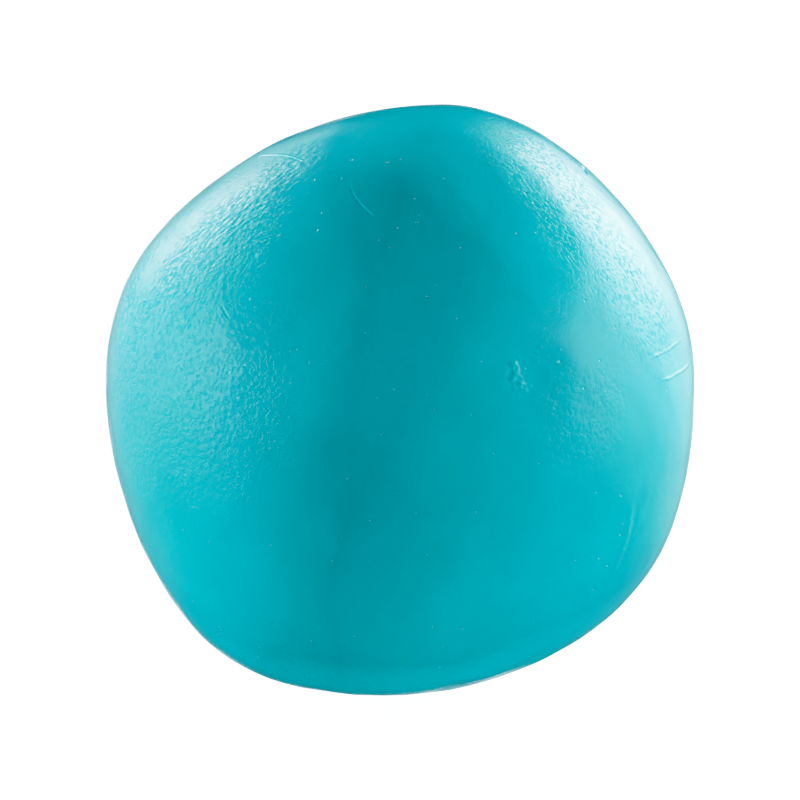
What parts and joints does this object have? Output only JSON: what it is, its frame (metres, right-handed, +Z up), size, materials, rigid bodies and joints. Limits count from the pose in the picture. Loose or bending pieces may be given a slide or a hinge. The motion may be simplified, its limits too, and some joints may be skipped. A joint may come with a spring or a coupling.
{
  "type": "stress ball",
  "caption": "Palm-sized soft squeeze ball: a thin rubber skin filled with slow dough, with a plugged and sealed filling port, standing on its own settled flat foot.",
  "frame": {"origin": "centre of the ball's box in X and Y, at the height of the flat patch it stands on", "axes": "+Z up, the front faces -Y, with the filling port to the front and right"},
  "size_m": [0.0638, 0.0642, 0.062],
  "materials": {
    "skin_rubber": "satin",
    "dough": "matte",
    "plug_rubber": "satin",
    "adhesive": "gloss",
    "sealant": "satin"
  },
  "bodies": {
    "ball": {"outer_skin": "skin_rubber", "dough_filling": "dough"},
    "plug": {"fill_plug": "plug_rubber", "plug_adhesive": "adhesive", "port_seal": "sealant"}
  },
  "joints": [
    {"name": "press", "type": "slide", "parent": "ball", "child": "plug", "axis": [0, 0, -1], "range_m": [0, 0.0134], "stiffness_N_per_m": 800, "deforming": ["outer_skin", "dough_filling"]}
  ]
}
